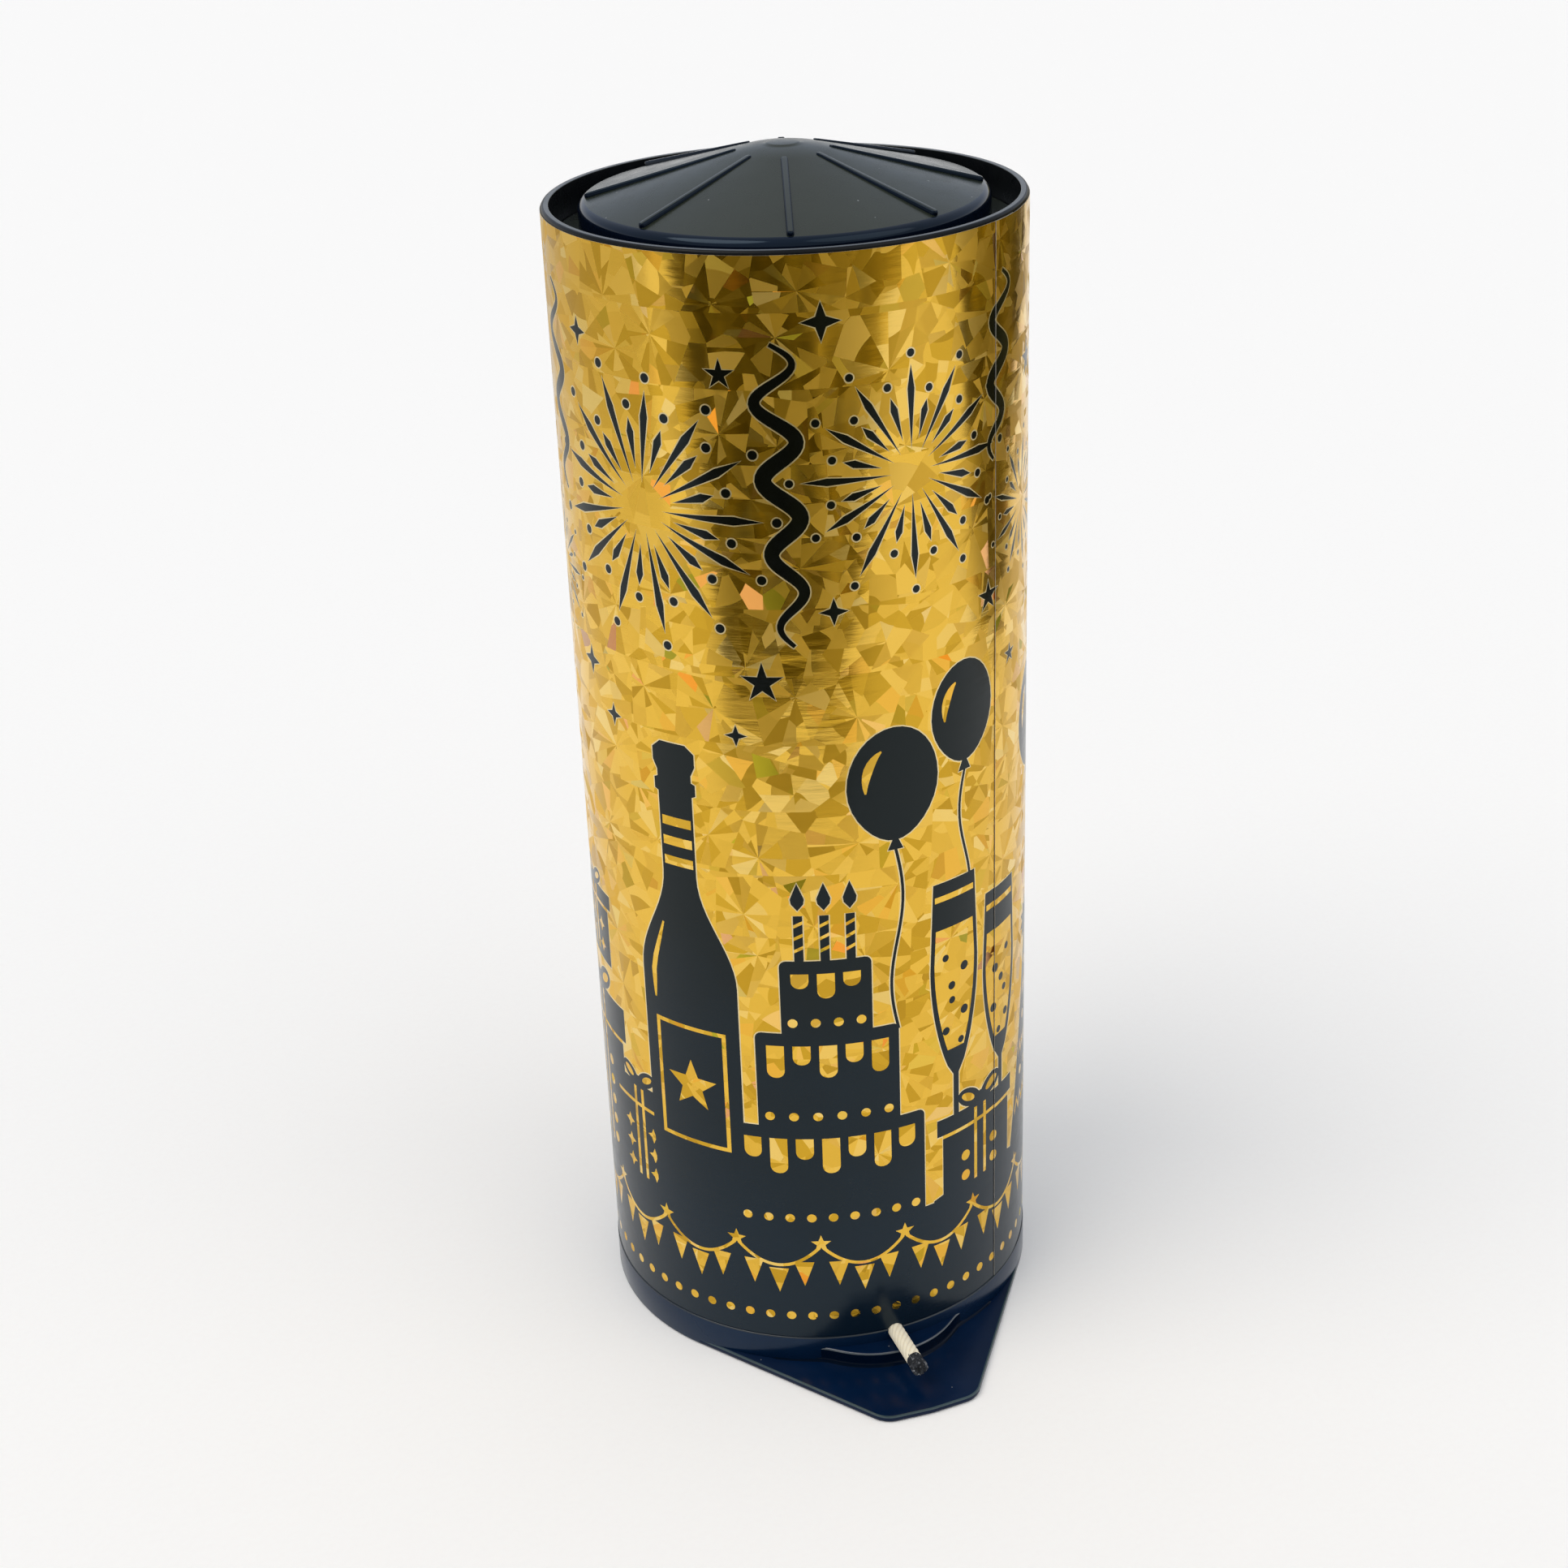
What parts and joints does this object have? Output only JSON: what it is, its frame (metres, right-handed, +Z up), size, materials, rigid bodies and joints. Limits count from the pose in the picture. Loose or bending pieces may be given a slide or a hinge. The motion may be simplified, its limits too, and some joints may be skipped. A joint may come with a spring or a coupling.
{
  "type": "table party popper",
  "caption": "Upright foil-wrapped tube on a flat base with a fuse tray; a fuse-lit charge drives a pusher up the tube and throws out party filling and a ribbed lid.",
  "frame": {"origin": "on the tube's axis, at the base's underside where it stands on the table", "axes": "+Z up along the tube, -Y out of the tube along the fuse and its tray, +X to the right when the fuse points at the viewer"},
  "size_m": [0.1004, 0.1224, 0.2709],
  "materials": {
    "base_plastic": "glossy black injection moulding",
    "tube_plastic": "glossy black extruded tube",
    "lid_plastic": "satin black injection moulding",
    "gold_foil": "gold prismatic foil label printed with gloss black",
    "band_foil": "gold foil paper band",
    "cup_foil": "thin drawn aluminium",
    "propellant": "loose white wool",
    "tissue": "white tissue",
    "fuse_cotton": "twisted cotton",
    "fuse_dip": "dry black dip",
    "greyboard": "plain greyboard",
    "felt": "pressed grey felt",
    "confetti_paper": "mixed coloured paper dots",
    "paper_red": "dyed tissue paper",
    "paper_yellow": "dyed tissue paper",
    "paper_blue": "dyed tissue paper",
    "paper_green": "dyed tissue paper",
    "paper_magenta": "dyed tissue paper",
    "mouthpiece_plastic": "white moulded plastic"
  },
  "bodies": {
    "housing": {"base": "base_plastic", "tube": "tube_plastic", "label": "gold_foil", "charge_cup": "cup_foil", "propellant_wad": "propellant", "chamber_seal": "tissue", "fuse_cord": "fuse_cotton", "fuse_tip": "fuse_dip"},
    "pusher": {"pusher_card": "greyboard", "felt_wad": "felt"},
    "filling": {"confetti": "confetti_paper", "streamer_roll_1": "paper_red", "streamer_roll_2": "paper_yellow", "streamer_roll_3": "paper_blue", "streamer_roll_4": "paper_green", "streamer_roll_5": "paper_magenta", "streamer_roll_6": "paper_red", "streamer_roll_7": "paper_yellow", "streamer_roll_8": "paper_blue", "streamer_roll_9": "paper_green", "rolled_hat_1": "paper_yellow", "rolled_hat_2": "paper_blue", "rolled_hat_3": "paper_green", "rolled_hat_4": "paper_magenta", "hat_band_1": "band_foil", "hat_band_2": "band_foil", "hat_band_3": "band_foil", "hat_band_4": "band_foil", "blower_mouthpiece_1": "mouthpiece_plastic", "blower_mouthpiece_2": "mouthpiece_plastic", "blower_mouthpiece_3": "mouthpiece_plastic", "blower_coil_1": "paper_blue", "blower_coil_2": "paper_green", "blower_coil_3": "paper_magenta"},
    "lid": {"lid": "lid_plastic", "lid_card": "greyboard"}
  },
  "joints": [
    {"name": "pusher_stroke", "type": "slide", "parent": "housing", "child": "pusher", "axis": [0, 0, 1], "range_m": [0, 0.229]},
    {"name": "filling_throw", "type": "slide", "parent": "pusher", "child": "filling", "axis": [0, 0, 1], "range_m": [0, 0.245]},
    {"name": "lid_lift", "type": "slide", "parent": "filling", "child": "lid", "axis": [0, 0, 1], "range_m": [0, 0.06]}
  ]
}
